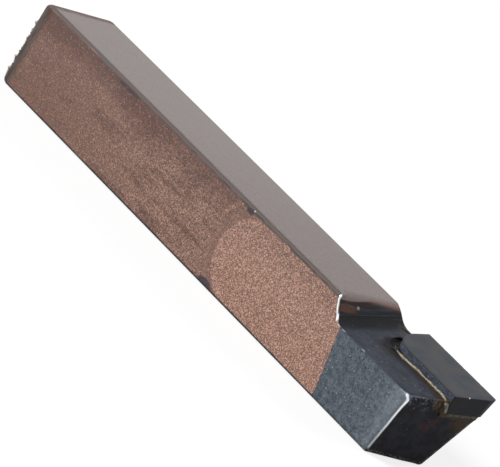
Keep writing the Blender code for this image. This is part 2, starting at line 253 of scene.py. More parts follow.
HEAD_TOP = ((43, 45, 52), (55, 58, 66))
HEAD_SPECK = (96, 102, 110)
HAZE = (30, 28, 29)
SOOT_AND_SHADE = (14, 13, 14)
SPILT_GREEN = (92, 86, 64)
WALL_FOOT_SHADE = (22, 23, 25)
BESIDE_BEAD = (38, 36, 36)
RUST = (70, 50, 34)
STEP_WALL = ((36, 39, 45), (76, 82, 97))
FILLET_SHADE = (18, 19, 21)
DRIP = (104, 73, 62)
LIP_DARK = (50, 33, 28)
LIP_SHEEN = (146, 132, 128)
FRONT_STEEL = ((39, 39, 43), (52, 53, 58))
FRONT_BROWN = (96, 76, 52)
FRONT_RED = (92, 54, 50)
FRONT_HEATED = (94, 74, 58)
FRONT_BURR = (150, 156, 168)
FRONT_TORN = (150, 142, 138)
TIP_TOP = ((49, 54, 61), (61, 60, 62))
TIP_LINES = (74, 75, 78)
TIP_SEAM_EDGE = (42, 47, 53)
TIP_WALL = ((54, 58, 66), (76, 82, 92))
TIP_SPECK = (110, 118, 130)
TIP_END_SHADE = ((28, 29, 34), (34, 35, 38))
TIP_NOSE_FLAT = (54, 50, 50)
TIP_CHIP_GLINT = (220, 222, 226)
BEAD_CREAM = ((84, 78, 66), (148, 142, 128))
BEAD_FOOT = (70, 54, 38)
BURNT_BRAZE = ((50, 40, 31), (76, 60, 42))
BRAZE_STRIP = ((64, 59, 50), (104, 98, 87))
STRIP_FOOT = (58, 46, 36)
HOLLOW_SHADE_BLACK = (13, 13, 14)
FLUX_AND_HOLLOW_SHADE = ((12, 12, 13), (32, 31, 32))
TORN_STEEL = ((170, 158, 150), (250, 248, 245))
DROP_PAINT = ((94, 76, 69), (128, 112, 105))

# Camera, from the photograph's perspective
CAMERA_PLACE = (0.37319, -0.44812, 0.17624)
CAMERA_AZIMUTH = 39.65
CAMERA_ELEVATION = 16.18
CAMERA_ROLL = 32.04
CAMERA_LENS = 337.93
SENSOR_WIDTH = 36.0

# Studio, in metres and watts
FLOOR_SIZE = 6.0
FLOOR_WHITE = 0.95
FLOOR_BOUNCE = 0.35
FLOOR_GLOW = 0.78
SKY_LEVEL = 0.3
KEY_PLACE = (-0.6, -0.9, 0.85)
KEY_SIZE = 0.7
KEY_POWER = 22.0
FILL_PLACE = (0.3, 1.0, 0.7)
FILL_SIZE = 0.8
FILL_POWER = 6.0


def screen(red, green, blue):
    """Colour as a screen shows it, from 0 to 255, as linear light."""
    parts = []
    for level in (red, green, blue):
        share = level / 255.0
        parts.append(share / 12.92 if share <= 0.04045 else ((share + 0.055) / 1.055) ** 2.4)
    return (*parts, 1.0)


class Value:
    """A socket of one node tree. Python's operators on it add Math nodes."""

    def __init__(self, nodes, socket):
        self.nodes = nodes
        self.socket = socket

    def math(self, operation, *others):
        inputs = dict(enumerate((self, *others)))
        return self.nodes.node("ShaderNodeMath", {"operation": operation}, inputs)

    def __add__(self, other):
        return self.math("ADD", other)

    __radd__ = __add__

    def __mul__(self, other):
        return self.math("MULTIPLY", other)

    __rmul__ = __mul__

    def __sub__(self, other):
        return self.math("SUBTRACT", other)

    def __rsub__(self, other):
        return self.math("MULTIPLY_ADD", -1.0, other)

    def __or__(self, other):
        """The greater of two masks."""
        return self.math("MAXIMUM", other)

    def rise(self, low, high):
        """Smooth step from 0 at low to 1 at high, or down from 1 where high is the lower."""
        inputs = {"Value": self, "From Min": low, "From Max": high}
        return self.nodes.node("ShaderNodeMapRange", {"interpolation_type": "SMOOTHSTEP"}, inputs)

    def line(self, middle, width):
        """Soft line, 1 at its middle and 0 from half its width away."""
        return (self - middle).math("ABSOLUTE").rise(width / 2, width / 6)


class Nodes:
    """A node tree, and one method that adds any node to it."""

    def __init__(self, tree):
        self.tree = tree

    def node(self, kind, settings=None, inputs=None, output=0):
        """Adds a node of any kind: its settings first, then its sockets' values or links."""
        node = self.tree.nodes.new(kind)
        for key, value in (settings or {}).items():
            setattr(node, key, value)
        for key, value in (inputs or {}).items():
            self.feed(node.inputs[key], value)
        return Value(self, node.outputs[output])

    def feed(self, socket, value):
        if isinstance(value, Value):
            self.tree.links.new(value.socket, socket)
        else:
            socket.default_value = value

    def mix(self, share, first, second):
        """Colour between two colours."""
        inputs = {0: share, 6: first, 7: second}
        return self.node("ShaderNodeMix", {"data_type": "RGBA"}, inputs, output=2)


class Finish(Nodes):
    """One material: a principled shader, and places on the part in millimetres."""

    def __init__(self, name, **constants):
        self.material = bpy.data.materials.new(name)
        self.material.use_nodes = True
        super().__init__(self.material.node_tree)
        self.shader = self.tree.nodes["Principled BSDF"]
        for key, value in constants.items():
            self.shader.inputs[key.replace("_", " ")].default_value = value
        metres = self.node("ShaderNodeTexCoord", output="Object")
        self.place = self.vector("SCALE", {0: metres, "Scale": 1 / MM})
        self.x, self.y, self.z = (
            self.node("ShaderNodeSeparateXYZ", inputs={0: self.place}, output=i) for i in range(3)
        )

    def vector(self, operation, inputs, output="Vector"):
        return self.node("ShaderNodeVectorMath", {"operation": operation}, inputs, output)

    def drawn(self, seed, stretch=(1.0, 1.0, 1.0)):
        """Places squeezed along each axis and moved off by a seed, for patterns to read."""
        squeezed = self.vector("MULTIPLY", {0: self.place, 1: stretch})
        return self.vector("ADD", {0: squeezed, 1: (37.0 * seed, 11.0 * seed, 53.0 * seed)})

    def noise(self, scale, detail=2.0, roughness=0.5, seed=0, stretch=(1.0, 1.0, 1.0)):
        """Cloudy values about 0.5, with blotches of about 1 / scale millimetres."""
        place = self.drawn(seed, stretch)
        inputs = {"Vector": place, "Scale": scale, "Detail": detail, "Roughness": roughness}
        return self.node("ShaderNodeTexNoise", inputs=inputs)

    def grains(self, scale, seed):
        """A number from 0 to 1 for each of many small cells, with nothing smooth between."""
        inputs = {"Vector": self.drawn(seed), "Scale": scale}
        draw = self.node("ShaderNodeTexVoronoi", inputs=inputs, output="Color")
        return self.node("ShaderNodeSeparateColor", inputs={0: draw})

    def specks(self, scale, size, share, seed, stretch=(1.0, 1.0, 1.0)):
        """Mask of scattered specks: a share of the cells holds one, of a size in cells."""
        inputs = {"Vector": self.drawn(seed, stretch), "Scale": scale}
        distance = self.node("ShaderNodeTexVoronoi", inputs=inputs, output="Distance")
        draw = Value(self, distance.socket.node.outputs["Color"])
        chance = self.node("ShaderNodeSeparateColor", inputs={0: draw})
        return distance.rise(size, size / 2) * chance.rise(1 - share, 1 - share * 0.9)

    def spot(self, centre, size, ragged=0.3, seed=0):
        """Mask of one patch: an ellipsoid about a place, with a soft and ragged edge."""
        away = self.vector("SUBTRACT", {0: self.place, 1: centre})
        share = self.vector("DIVIDE", {0: away, 1: size})
        reach = self.vector("LENGTH", {0: share}, output="Value")
        uneven = (self.noise(1.6 / max(size), 3.0, 0.6, seed) - 0.5) * (4 * ragged)
        return (reach + uneven).rise(1.25, 0.65)

    def between(self, share, shades):
        """Colour between the two shades of a pair."""
        return self.mix(share, screen(*shades[0]), screen(*shades[1]))

    def over(self, colour, share, shade):
        """Colour with a shade laid over a share of it."""
        return self.mix(share, colour, screen(*shade))

    def give(self, colour, height, **sockets):
        """Feeds the shader. Height is in millimetres, outwards."""
        self.feed(self.shader.inputs["Base Color"], colour)
        for key, value in sockets.items():
            self.feed(self.shader.inputs[key.replace("_", " ")], value)
        relief = {"Strength": 1.0, "Distance": MM, "Height": height}
        self.feed(self.shader.inputs["Normal"], self.node("ShaderNodeBump", inputs=relief))
        return self.material


def side_paint(finish):
    """Colour of the sprayed sides: grainy bronze, with the glints of its metal flake painted in as
    light specks.

    It is darker and redder by the upper edge. The front panel has a second coat with a
    round end, and behind that the wet coat drew back into a smooth darker rim.
    """
    x, z = finish.x, finish.z
    fine = finish.noise(4.5, 1.0, 0.5, seed=1).rise(0.3, 0.7)
    calm = x.rise(-8.0, -34.0) * 0.4
    grain = (finish.grains(8.0, seed=1) * 0.75 + fine * 0.25).math("POWER", 2.2)
    grain = grain * (1 - calm) + calm * 0.31
    cloud = finish.noise(0.16, 4.0, 0.6, seed=2, stretch=(0.7, 1.0, 1.2))
    streak = finish.noise(0.5, 3.0, 0.6, seed=4, stretch=(0.2, 1.0, 1.3))

    shade = (z + (cloud - 0.5) * 9.0).rise(6.5, 11.5) * (0.7 + 0.15 * x.rise(-6.0, -24.0))
    shade = shade | streak.rise(0.52, 0.36) * 0.65 | x.rise(-6.0, -40.0) * 0.5
    old = finish.between(grain, OLD_COAT)
    colour = finish.mix(shade, old, finish.between(grain, OLD_COAT_SHADED))
    redder = (z + (cloud - 0.5) * 4.0).rise(9.8, 12.0) * x.rise(-6.0, -20.0)
    colour = finish.mix(redder * 0.6, colour, finish.between(grain, EDGE_COAT))

    across = x - PANEL_X
    up = z - PANEL_Z
    reach = (across * across + up * up).math("SQRT") + (cloud - 0.5) * 0.8
    on_near_side = finish.y.rise(0.0, -3.0)
    panel = ((PANEL_RADIUS - reach).rise(-0.1, 0.12) | across.rise(-0.05, 0.05)) * on_near_side
    rim = reach.rise(PANEL_RADIUS + 1.9, PANEL_RADIUS + 0.9) * (1 - panel) * on_near_side
    colour = finish.mix(rim * 0.85, colour, finish.between(grain, RIM_COAT))
    fresh = finish.between(grain, NEW_COAT)
    swirl = reach.line(PANEL_RADIUS + 2.3, 0.9) * up.rise(1.0, 4.0)
    colour = finish.mix(swirl * 0.5, colour, fresh)
    dulled = (z + (cloud - 0.5) * 6.0).rise(8.0, 12.0) * 0.6
    colour = finish.mix(panel, colour, finish.mix(dulled, fresh, old))
    # Painted glints of the flake: light specks, more of them on the panel
    flake_glints = finish.specks(4.2, 0.42, 0.22, seed=3) * (0.3 + 0.25 * panel)
    return finish.over(colour, flake_glints, FLAKE_GLINT), panel * 0.03


def top_paint(finish):
    """Colour of the smooth top, which dulls a little towards the head."""
    cloud = finish.noise(0.25, 3.0, 0.5, seed=5)
    grain = finish.grains(5.0, seed=8)
    colour = finish.between((finish.x + (cloud - 0.5) * 12.0).rise(-22.0, 22.0), TOP_COAT)
    colour = finish.over(colour, grain * 0.16, TOP_GRAIN)
    colour = finish.over(colour, finish.spot(*BLUE_TINT, seed=9) * 0.5, TOP_BLUED)
    far_edge = finish.y.rise(FAR_Y - 0.9, FAR_Y - 0.45)
    colour = finish.over(colour, far_edge * 0.6, TOP_FAR_EDGE)
    flaw = finish.spot(*REAR_FLAW, seed=6) | finish.spot(*FAR_FLAW, seed=7)
    return finish.over(colour, flaw * 0.6, TOP_FLAW)


def edge_band(finish, round_top):
    """Colours across the upper near edge, where the paint was rubbed thin.

    A dark line runs on its side, then a grey strip, then a thin dark line on the top.
    """
    front = finish.x.rise(-30.0, 4.0)
    colour = finish.over(finish.between(front, BAND_SIDE), round_top.rise(0.6, 0.1), BAND_CREST)
    uneven = finish.noise(0.5, 2.0, 0.5, seed=36).rise(0.35, 0.6)
    side_line = round_top.line(0.4, 0.4) * uneven * (0.2 + 0.45 * front)
    colour = finish.over(colour, side_line, BAND_SIDE_LINE)
    return finish.over(colour, round_top.line(-0.2, 0.35) * front * 0.4, BAND_TOP_LINE)


def blackened_steel(finish):
    """Colour and height of the blackened sides of the head: blue-grey with fine pits."""
    mottle = finish.noise(1.3, 4.0, 0.75, seed=10)
    fine = finish.noise(5.0, 1.0, 0.5, seed=11)
    pits = finish.specks(2.6, 0.45, 0.35, seed=12)
    sparks = finish.specks(2.2, 0.3, 0.16, seed=13)
    colour = finish.between((mottle * 0.6 + fine * 0.4).rise(0.36, 0.64), BLACKENED)
    colour = finish.over(colour, pits * 0.6, PIT)
    colour = finish.over(colour, sparks * 0.7, SPARK)
    rubbed = (finish.x + (mottle - 0.5) * 6.0).rise(37.0, 42.0) * 0.25
    return finish.over(colour, rubbed, RUBBED), fine * 0.01 - pits * 0.02


def head_top_steel(finish):
    """Colour of the milled top of the head, dark and brown beside the braze, with painted shade at
    the foot of the step's wall and about the hollow behind the bead.
    """
    x, y = finish.x, finish.y
    cloud = finish.noise(0.9, 3.0, 0.6, seed=14)
    colour = finish.between(cloud.rise(0.3, 0.7), HEAD_TOP)
    colour = finish.over(colour, finish.specks(2.0, 0.3, 0.08, seed=15), HEAD_SPECK)
    colour = finish.over(colour, finish.spot(*SOOT_HAZE, 0.3, seed=37) * 0.5, HAZE)
    # Near black about the hollow behind the bead: soot, and the hollow's shade painted with it
    soot_and_shade = finish.spot(*HOLLOW_SOOT_AND_SHADE, 0.2, seed=24) | finish.spot(*BEAD_SOOT_AND_SHADE, 0.2, seed=25)
    colour = finish.over(colour, soot_and_shade * 0.9, SOOT_AND_SHADE)
    colour = finish.over(colour, finish.spot(*SPILL_STAIN, 0.3, seed=26) * 0.5, SPILT_GREEN)
    # Painted shade in the corner at the foot of the step's wall
    colour = finish.over(colour, x.rise(28.4, 26.9) * 0.75, WALL_FOOT_SHADE)
    beside = (y + (cloud - 0.5) * 0.8).rise(-2.3, -0.6) * x.rise(30.0, 33.0)
    colour = finish.over(colour, beside * 0.75, BESIDE_BEAD)
    rust = (y + (cloud - 0.5) * 0.5).rise(-1.3, -0.6) * x.rise(33.0, 41.0)
    return finish.over(colour, rust * 0.8, RUST)


def wall_steel(finish, above):
    """Colour and height of the step's wall: dark slate with milling lines, paint on it, painted
    shade in its fillet, and paint over its upper edge made light as a painted sheen.
    """
    y = finish.y
    axes = {0: finish.x * 0.1, 1: y * 0.08, 2: above * 4.4}
    layers = finish.node("ShaderNodeCombineXYZ", inputs=axes)
    inputs = {"Vector": layers, "Scale": 1.6, "Detail": 3.0, "Roughness": 0.6}
    lines = finish.node("ShaderNodeTexNoise", inputs=inputs)
    colour = finish.between(lines.rise(0.45, 0.65), STEP_WALL)
    # Painted shade in the fillet at the foot of the wall
    colour = finish.over(colour, above.rise(1.1, 0.5), FILLET_SHADE)
    drips = finish.spot(*NEAR_DRIP, 0.25, seed=17) | finish.spot(*FAR_DRIP, 0.2, seed=18)
    colour = finish.over(colour, drips * 0.85, DRIP)
    level = finish.z + (lines - 0.5) * 0.3
    lip = level.rise(11.55, 11.8) * y.rise(2.5, -1.0)
    colour = finish.over(colour, lip * 0.85, LIP_DARK)
    # Paint over the wall's upper edge, made light as a painted sheen like the glossy top's
    crest_sheen = (level + y.rise(-5.5, 1.0) * -0.45).rise(12.0, 12.15)
    colour = finish.over(colour, crest_sheen * 0.9, LIP_SHEEN)
    return colour, lines * 0.03 + drips * 0.04


def front_steel(finish):
    """Colour of the ground front: near black, with rust, and with burrs at its edges."""
    y, z = finish.y, finish.z
    cloud = finish.noise(0.8, 4.0, 0.6, seed=19)
    colour = finish.between(cloud.rise(0.35, 0.65), FRONT_STEEL)
    colour = finish.over(colour, finish.spot(*FRONT_RUST, 0.4, seed=20) * 0.65, FRONT_BROWN)
    red = finish.spot(*LOW_RED, 0.4, seed=21) | finish.spot(*HIGH_RED, 0.4, seed=38)
    colour = finish.over(colour, red * 0.3, FRONT_RED)
    heated = (y + z * 0.6 + (cloud - 0.5) * 3.0).rise(6.4, 9.2) * z.rise(4.5, 7.5)
    colour = finish.over(colour, heated * 0.7, FRONT_HEATED)
    burrs = finish.noise(3.4, 2.0, 0.7, seed=22, stretch=(1.0, 1.2, 0.7)).rise(0.53, 0.68)
    burrs = burrs * (z - y * 0.12 + cloud * 2.4).rise(9.2, 10.8)
    nicks = finish.specks(1.8, 0.3, 0.4, seed=39, stretch=(1.0, 1.0, 0.6))
    nicks = nicks * (z + cloud).rise(7.0, 9.0)
    stray = finish.specks(1.6, 0.16, 0.25, seed=23)
    marks = burrs * 0.65 | nicks * 0.6 * y.rise(-2.0, -4.0) | stray * 0.45
    colour = finish.over(colour, marks * y.rise(0.3, -1.0), FRONT_BURR)
    torn = finish.noise(2.2, 3.0, 0.7, seed=45).rise(0.46, 0.6)
    rim = (y - FOOT_Y - SIDE_SLOPE * z).rise(-0.8, -0.4) | z.rise(0.8, 0.45)
    return finish.over(colour, torn * rim * 0.7, FRONT_TORN)


def painted_steel():
    """Whole finish of the shank, in the order in which it was made.

    The head is blackened, the bar is painted up to a masked edge, and the edges that were handled
    are rubbed to bright steel, laid where their highlights fall, so in part a painted highlight.
    """
    finish = Finish("painted_steel", Coat_Roughness=0.15, Specular_IOR_Level=0.06)
    x, y, z = finish.x, finish.y, finish.z
    inward = y - NEAR_Y
    wobble = finish.noise(0.35, 3.0, 0.6, seed=30) - 0.5
    ragged = finish.noise(1.3, 3.0, 0.6, seed=31) - 0.5

    # Heights over the planes of the head, negative inside the steel
    above = z - HEAD_NEAR_Z - HEAD_SLOPE * inward
    wall = x - WALL_X + STEP_LEAN * (z - HEAD_SLOPE * y - WALL_Z) + STEP_SKEW * inward
    front = x - FRONT_X - END_SLOPE * (y - FRONT_Y) - FRONT_SLOPE * (z - FRONT_Z)

    # Head
    steel, steel_height = blackened_steel(finish)
    steel = finish.mix(above.rise(-0.2, -0.05), steel, head_top_steel(finish))
    wall_colour, wall_height = wall_steel(finish, above)
    on_wall = above.rise(0.05, 0.3) * inward.rise(0.2, 0.35)
    steel = finish.mix(on_wall, steel, wall_colour)
    rounded = (front - above).rise(-0.45, 0.05) * above.rise(-1.0, -0.8)
    on_front = front.rise(-0.3, -0.1) | rounded * inward.rise(0.7, 1.1)
    steel = finish.mix(on_front, steel, front_steel(finish))

    # Paint, and the places where it was rubbed thin or never reached, with a painted glint and a
    # painted sheen on it
    side, side_height = side_paint(finish)
    round_top = TOP_Z - z - inward + wobble * 0.7
    round_foot = z - inward + wobble * 0.5
    on_top = round_top.rise(-0.45, -0.75) * z.rise(TOP_Z - 1.0, TOP_Z - 0.5)
    paint = finish.mix(on_top, side, top_paint(finish))
    narrow = round_top + x.rise(-18.0, -34.0) * 0.35
    band = narrow.rise(0.7, 0.55) * round_top.rise(-0.9, -0.2) * inward.rise(1.6, 1.2)
    paint = finish.mix(band, paint, edge_band(finish, round_top))
    foot = round_foot.rise(FOOT_BAND + 0.1, FOOT_BAND - 0.15) * inward.rise(1.2, 0.8)
    paint = finish.over(paint, foot, BARE_FOOT)
    rear = (x - REAR_X + ragged * 1.2).rise(REAR_BAND + 0.5, REAR_BAND - 0.6)
    sawn = rear * z.rise(TOP_Z - 0.2, TOP_Z - 0.8)
    scratches = finish.noise(1.4, 4.0, 0.7, seed=41, stretch=(1.0, 2.6, 0.25))
    paint = finish.mix(sawn, paint, finish.between(scratches.rise(0.35, 0.65), SAWN_END))
    gaps = finish.spot(*UPPER_GAP, 0.3, seed=32) | finish.spot(*LOWER_GAP, 0.3, seed=33)
    gaps = gaps | finish.spot(*REAR_GAP, 0.3, seed=34) * 0.7
    paint = finish.over(paint, gaps * 0.85, BARE_GAP)
    # Painted glint on the paint by the upper gap
    paint = finish.over(paint, finish.spot(*GAP_GLINT, 0.0, seed=40), GAP_GLINT_COLOUR)
    rolled = z.rise(TOP_Z - 0.02, TOP_Z - 0.2) * wall.rise(-3.0, -2.5) * inward.rise(0.8, 1.2)
    paint = finish.over(paint, rolled, ROLLED_PAINT)
    # Paint over the step's near upper edge, made light as a painted sheen like the glossy top's
    lip = wall.rise(-0.3, -0.05) * z.rise(12.0, 12.4) * y.rise(1.0, -2.0)
    paint = finish.over(paint, lip, LIP_PAINT_SHEEN)
    edge_x = MASK_X - MASK_LEAN * z + ragged * 0.5
    painted = (x - edge_x).rise(0.08, -0.08) * (wall.rise(-0.05, -0.2) | inward.rise(0.25, 0.1))
    colour = finish.mix(painted, steel, paint)

    # Wear and painted highlights: bright bare steel on the front corner of the head and on the near
    # edge of the step, laid and faded along where their highlights fall, and a light line on the
    # head's upper edge
    corner = front + inward - wobble * 0.15 + above.rise(-0.8, -0.05) * 0.6
    wide = corner - above.rise(-2.0, -0.5) * 0.14
    wear_and_highlight = corner.rise(-0.24, 0.16) * wide.rise(0.44, 0.16)
    wear_and_highlight = wear_and_highlight * above.rise(-0.03, -0.25) * z.rise(0.3, 1.0)
    wear_and_highlight = wear_and_highlight * inward.rise(1.8, 1.4) * (0.6 + 0.4 * z.rise(1.0, 7.5))
    rubbed_highlight = wall + above.line(1.9, 2.6) * 0.2
    rubbed_highlight = rubbed_highlight.rise(-0.2, -0.1) * rubbed_highlight.rise(0.17, 0.0) * inward.rise(0.4, 0.2)
    wear_and_highlight = wear_and_highlight | rubbed_highlight * above.rise(0.1, 0.3)
    # Light line on the head's upper edge: chafed specks, and a painted highlight that grows towards
    # the front corner
    ridge_highlight = (above + inward).line(0.0, 0.3) * x.rise(27.0, 27.6)
    ridge_highlight = ridge_highlight * front.rise(-0.6, -1.0) * inward.rise(1.2, 0.8)
    chafed = finish.specks(0.9, 0.5, 0.2, seed=35)
    ridge_highlight = ridge_highlight * (0.1 + 0.7 * chafed + 0.3 * x.rise(40.0, 41.4))
    colour = finish.over(colour, wear_and_highlight, WORN_HIGHLIGHT)
    colour = finish.over(colour, ridge_highlight, RIDGE_HIGHLIGHT)

    height = painted * (0.04 + side_height) + (1 - painted) * steel_height
    gloss = painted * (1 - band) * (1 - rolled) * (1 - (foot | sawn)) * (1 - gaps)
    gloss = gloss * (1 - 0.25 * on_top) * (1 - 0.8 * rear)
    return finish.give(
        colour,
        height + on_wall * wall_height,
        Roughness=0.55 - wear_and_highlight * 0.3,
        Metallic=wear_and_highlight,
        Coat_Weight=gloss * (1 - wear_and_highlight),
    )


def carbide():
    """Ground carbide: smooth grey top, darker walls, an end painted darker as shade, and a painted
    glint on a chip at the front edge.
    """
    finish = Finish("carbide", Roughness=0.5, Specular_IOR_Level=0.12)
    x, y, z = finish.x, finish.y, finish.z
    below = TIP_NOSE_Z + TIP_SLOPE * (y - FRONT_Y) - z
    cloud = finish.noise(0.35, 3.0, 0.5, seed=40)
    fine = finish.noise(3.0, 3.0, 0.6, seed=41)
    lines = finish.noise(3.5, 2.0, 0.5, seed=42, stretch=(0.1, 1.0, 1.0))
    top = finish.between(cloud.rise(0.35, 0.65), TIP_TOP)
    top = finish.over(top, lines.rise(0.5, 0.8) * 0.3, TIP_LINES)
    top = finish.over(top, (y + (cloud - 0.5) * 1.2).rise(0.9, -0.1) * 0.55, TIP_SEAM_EDGE)
    wall = finish.between(fine.rise(0.35, 0.65), TIP_WALL)
    wall = finish.over(wall, finish.specks(1.6, 0.4, 0.12, seed=43) * 0.5, TIP_SPECK)
    colour = finish.mix(below.rise(0.06, 0.2), top, wall)
    ahead = x - FRONT_X - END_SLOPE * (y - FRONT_Y) - FRONT_SLOPE * (z - FRONT_Z)
    # The end is a darker copy of the same carbide: painted shade of the face turned from the lamp
    end = finish.between(cloud.rise(0.35, 0.65), TIP_END_SHADE)
    end = finish.over(end, y.rise(5.75, 5.95) * 0.8, TIP_NOSE_FLAT)
    colour = finish.mix(ahead.rise(0.1, 0.2) * below.rise(0.02, 0.1), colour, end)
    # Painted glint on the chip in the front edge
    colour = finish.over(colour, finish.spot(*TIP_GLINT, 0.0, seed=44), TIP_CHIP_GLINT)
    return finish.give(colour, fine * 0.004 + lines * 0.004)


def braze_crest():
    """Braze where it stands proud: dull cream, and brown low on the seam."""
    finish = Finish("braze_crest", Roughness=0.45, Specular_IOR_Level=0.4)
    x, y, z = finish.x, finish.y, finish.z
    cloud = finish.noise(2.2, 3.0, 0.6, seed=50)
    colour = finish.between(cloud.rise(0.35, 0.65), BEAD_CREAM)
    above = z - HEAD_NEAR_Z - HEAD_SLOPE * (y - NEAR_Y)
    low = (above - y * 0.25).rise(0.22, 0.05) * x.rise(43.1, 42.7)
    return finish.give(finish.over(colour, low * 0.8, BEAD_FOOT), cloud * 0.05)


def braze_film():
    """Braze where it thins out: burnt brown, paler under the tip, and painted black in the hollow
    as its shade.
    """
    finish = Finish("braze_film", Roughness=0.45, Specular_IOR_Level=0.12)
    x, y, z = finish.x, finish.y, finish.z
    cloud = finish.noise(2.2, 3.0, 0.6, seed=50)
    patchy = cloud.rise(0.35, 0.65)
    strip = finish.between(patchy, BRAZE_STRIP)
    strip = finish.over(strip, (z - y * 0.15).rise(8.15, 7.9), STRIP_FOOT)
    under = y.rise(0.3, 1.5) * z.rise(7.7, 8.3)
    colour = finish.mix(under, finish.between(patchy, BURNT_BRAZE), strip)
    # Painted shade: the film in the hollow behind the bead is made black
    colour = finish.over(colour, x.rise(33.2, 32.2), HOLLOW_SHADE_BLACK)
    return finish.give(colour, cloud * 0.04)


def flux_and_hollow_shade():
    """Flux in the hollow behind the bead, burnt, and painted near black as the hollow's shade."""
    finish = Finish("flux_and_hollow_shade", Roughness=0.6, Specular_IOR_Level=0.05)
    cloud = finish.noise(1.6, 3.0, 0.6, seed=60)
    return finish.give(finish.between(cloud.rise(0.35, 0.65), FLUX_AND_HOLLOW_SHADE), cloud * 0.1)


def torn_steel():
    """Bright steel of the burr, with paint left on it in places."""
    finish = Finish("torn_steel", Roughness=0.4, Specular_IOR_Level=0.5)
    cloud = finish.noise(1.5, 2.0, 0.5, seed=62)
    return finish.give(finish.between(cloud.rise(0.45, 0.55), TORN_STEEL), cloud * 0.03)


def hard_paint():
    """Paint where it set in a drop: smooth, and paler than the coat."""
    finish = Finish("hard_paint", Roughness=0.5, Coat_Weight=0.5, Coat_Roughness=0.2)
    cloud = finish.noise(2.0, 2.0, 0.5, seed=61)
    return finish.give(finish.between(cloud.rise(0.35, 0.65), DROP_PAINT), cloud * 0.03)


def corners_of(node):
    """Corner points of a node, each once, in millimetres."""
    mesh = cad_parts[node].data
    points = np.empty(len(mesh.vertices) * 3, np.float32)
    mesh.vertices.foreach_get("co", points)
    return np.unique(np.round(points.reshape(-1, 3) / MM, 4), axis=0)


def add_piece(name, mesh, material, node):
    """Puts a finished mesh on the part, to ride with it in place of, or beside, a node."""
    mesh.materials.append(material)
    piece = bpy.data.objects.new(name, mesh)
    bpy.context.scene.collection.objects.link(piece)
    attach(piece, "root")
    if node:
        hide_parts(node)
    return piece


def grid_mesh(name, points):
    """Closed mesh of a grid of points, rows by columns, in millimetres.

    Columns go round and close on themselves. The first and the last row are single
    points, the poles.
    """
    rows, columns = points.shape[:2]
    inner = points[1:-1].reshape(-1, 3)
    vertices = np.vstack([points[0, :1], inner, points[-1, :1]]) * MM
    count = rows - 2
    left = np.arange(columns)
    right = np.roll(left, -1)
    row = (np.arange(count - 1) * columns + 1)[:, None]
    after = row + columns
    quads = np.stack([row + left, row + right, after + right, after + left], axis=-1)
    last = 1 + (count - 1) * columns
    tail = len(vertices) - 1
    first_fan = np.stack([np.zeros_like(left), 1 + right, 1 + left], axis=-1)
    last_fan = np.stack([last + left, last + right, np.full_like(left, tail)], axis=-1)
    faces = quads.reshape(-1, 4).tolist() + first_fan.tolist() + last_fan.tolist()
    mesh = bpy.data.meshes.new(name)
    mesh.from_pydata(vertices, [], faces)
    mesh.shade_smooth()
    return mesh


def add_shank(material):
    """Merged copy of the shank's milled form, with the edges of its head eased.

    Fine cuts beside the edges give the rounding its rows of points. Each pass then draws
    the points in to the circle that touches both faces of an edge.
    """
    wall = plane(
        (WALL_X, NEAR_Y, HEAD_SLOPE * NEAR_Y + WALL_Z),
        (1.0, STEP_SKEW - HEAD_SLOPE * STEP_LEAN, STEP_LEAN),
    )
    head = plane((WALL_X, NEAR_Y, HEAD_NEAR_Z), (0.0, -HEAD_SLOPE, 1.0))
    front = plane((FRONT_X, FRONT_Y, FRONT_Z), (1.0, -END_SLOPE, -FRONT_SLOPE))
    side = plane((0.0, FOOT_Y, 0.0), (0.0, 1.0, -SIDE_SLOPE))
    near = plane((0.0, NEAR_Y, 0.0), (0.0, -1.0, 0.0))
    top = plane((0.0, 0.0, TOP_Z), (0.0, 0.0, 1.0))
    foot = plane((0.0, 0.0, 0.0), (0.0, 0.0, -1.0))

    bm = bmesh.new()
    bm.from_mesh(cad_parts["shank"].data)
    bmesh.ops.remove_doubles(bm, verts=bm.verts, dist=MERGE_DISTANCE)
    bmesh.ops.dissolve_limit(bm, angle_limit=FLAT_ANGLE, verts=bm.verts, edges=bm.edges)
    across = (1.0, 0.0, 0.0)
    slice_across(bm, plane((EASED_FROM, 0.0, 0.0), across))
    for depth in STEP_CUTS:
        slice_across(bm, wall, depth)
        slice_across(bm, top, depth, low_x=EASED_FROM)
    for depth in HEAD_CUTS:
        slice_across(bm, head, depth, low_x=WALL_X)
        slice_across(bm, near, depth)
        for face in (front, side, foot):
            slice_across(bm, face, depth, low_x=WALL_X)
    for place in CROSS_CUTS:
        slice_across(bm, plane((place, 0.0, 0.0), across), low_x=WALL_X)
    mesh = bpy.data.meshes.new("shank_body")
    bm.to_mesh(mesh)
    bm.free()

    points = np.empty(len(mesh.vertices) * 3, np.float32)
    mesh.vertices.foreach_get("co", points)
    points = points.reshape(-1, 3).astype(float) / MM
    points = ease_step(points, wall, top, near)
    points = ease_head(points, head, near, front)
    points = ease_foot(points, foot, side, front)
    mesh.vertices.foreach_set("co", (points * MM).astype(np.float32).ravel())
    mesh.shade_smooth()
    mesh.set_sharp_from_angle(angle=SHARP_ANGLE)
    mesh.update()
    piece = add_piece("shank_body", mesh, material, "shank")
    normals = piece.modifiers.new("flat faces", "WEIGHTED_NORMAL")
    normals.keep_sharp = True
    return piece


def ease_step(points, wall, top, near):
    """Rounds the step's upper edge, more towards its far end, and its near edge."""
    x, y, z = points.T
    chosen = (z > HEAD_NEAR_Z + STEP_LOWEST) & (x < WALL_X + STEP_FOREMOST) & (x > EASED_FROM)
    farther = smooth_step((y - 1.0) / (FAR_Y - 1.0)) ** 1.5
    rounding = TOP_EDGE + (FAR_EDGE - TOP_EDGE) * farther
    points = ease(points, chosen, rounding, *over_plane(points, wall), *over_plane(points, top))
    return ease(points, chosen, STEP_EDGE, *over_plane(points, wall), *over_plane(points, near))


